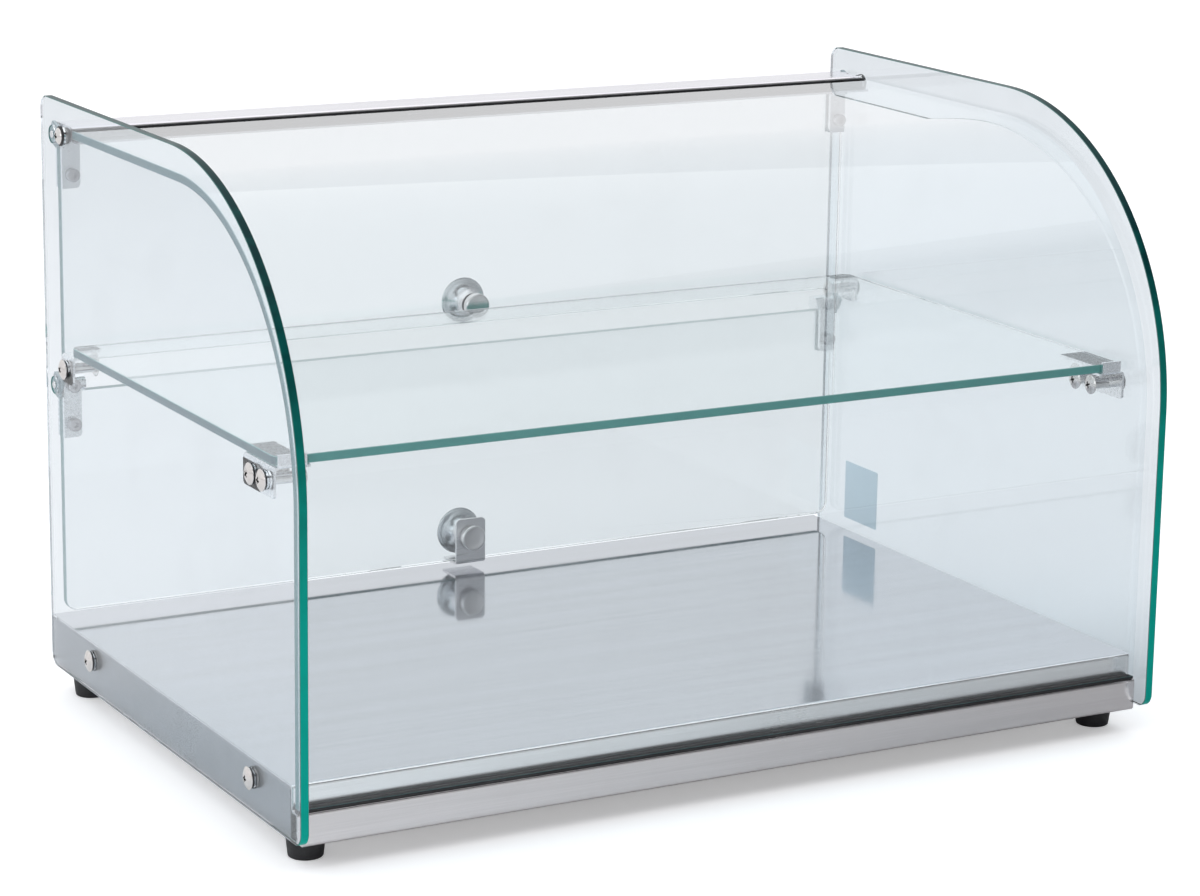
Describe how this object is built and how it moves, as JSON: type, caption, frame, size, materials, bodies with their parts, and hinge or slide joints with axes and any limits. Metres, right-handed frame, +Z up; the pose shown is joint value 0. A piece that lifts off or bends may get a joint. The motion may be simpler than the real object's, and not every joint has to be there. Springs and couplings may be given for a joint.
{
  "type": "glass display showcase",
  "caption": "Countertop glass showcase with a curved front, glass sides, an inner glass shelf, a steel base on rubber feet and rear glass doors that swing up.",
  "frame": {"origin": "on the floor plane under the middle of the case's bounding box", "axes": "+X to the right seen from the curved front, +Y to the rear doors, +Z up"},
  "size_m": [0.5612, 0.3756, 0.367],
  "materials": {
    "clear_glass": "clear, polished, pale green in the edges",
    "base_steel": "fine brushed stainless",
    "rail_steel": "fine brushed stainless",
    "bracket_steel": "polished",
    "clip_metal": "satin plated",
    "knob_metal": "polished",
    "screw_metal": "nickel plated",
    "black_rubber": "matte",
    "black_seal": "matte",
    "dark_fibre": "matte",
    "clear_nylon": "translucent",
    "label_film": "blank, matte"
  },
  "bodies": {
    "case": {"base_floor_plate": "base_steel", "base_shell": "base_steel", "base_side_panel_left": "base_steel", "base_side_panel_right": "base_steel", "base_side_screws": "screw_metal", "base_weld_nuts": "screw_metal", "blank_label": "label_film", "curved_front_glass": "clear_glass", "foot_front_left": "black_rubber", "foot_front_right": "black_rubber", "foot_nuts": "screw_metal", "foot_rear_left": "black_rubber", "foot_rear_right": "black_rubber", "foot_screws": "screw_metal", "front_glass_seat": "black_seal", "front_shelf_bracket_left": "bracket_steel", "front_shelf_bracket_right": "bracket_steel", "glass_shelf": "clear_glass", "lower_hinge_bush_left": "clear_nylon", "lower_hinge_bush_right": "clear_nylon", "outer_washers": "black_seal", "rail_end_nuts": "screw_metal", "rail_end_screws": "screw_metal", "rear_shelf_bracket_left": "bracket_steel", "rear_shelf_bracket_right": "bracket_steel", "shelf_inner_screws": "screw_metal", "shelf_outer_screws": "screw_metal", "shelf_sleeves": "screw_metal", "side_glass_left": "clear_glass", "side_glass_right": "clear_glass", "spacer_washers": "clear_nylon", "top_edge_seal": "black_seal", "top_rail": "rail_steel", "upper_hinge_bush_left": "clear_nylon", "upper_hinge_bush_right": "clear_nylon"},
    "upper_door": {"upper_clip_liners": "dark_fibre", "upper_clip_screws": "screw_metal", "upper_door_glass": "clear_glass", "upper_door_knob": "knob_metal", "upper_hinge_clip_left": "clip_metal", "upper_hinge_clip_right": "clip_metal", "upper_hinge_pin_left": "screw_metal", "upper_hinge_pin_right": "screw_metal", "upper_knob_cap": "knob_metal", "upper_knob_washers": "dark_fibre"},
    "lower_door": {"lower_clip_liners": "dark_fibre", "lower_clip_screws": "screw_metal", "lower_door_catch_plate": "bracket_steel", "lower_door_glass": "clear_glass", "lower_door_knob": "knob_metal", "lower_hinge_clip_left": "clip_metal", "lower_hinge_clip_right": "clip_metal", "lower_hinge_pin_left": "screw_metal", "lower_hinge_pin_right": "screw_metal", "lower_knob_cap": "knob_metal", "lower_knob_washers": "dark_fibre"}
  },
  "joints": [
    {"name": "upper_door_hinge", "type": "hinge", "parent": "case", "child": "upper_door", "pos_m": [0, 0.16415, 0.3457], "axis": [1, 0, 0], "range_deg": [0, 95]},
    {"name": "lower_door_hinge", "type": "hinge", "parent": "case", "child": "lower_door", "pos_m": [0, 0.16915, 0.194], "axis": [1, 0, 0], "range_deg": [0, 95]}
  ]
}
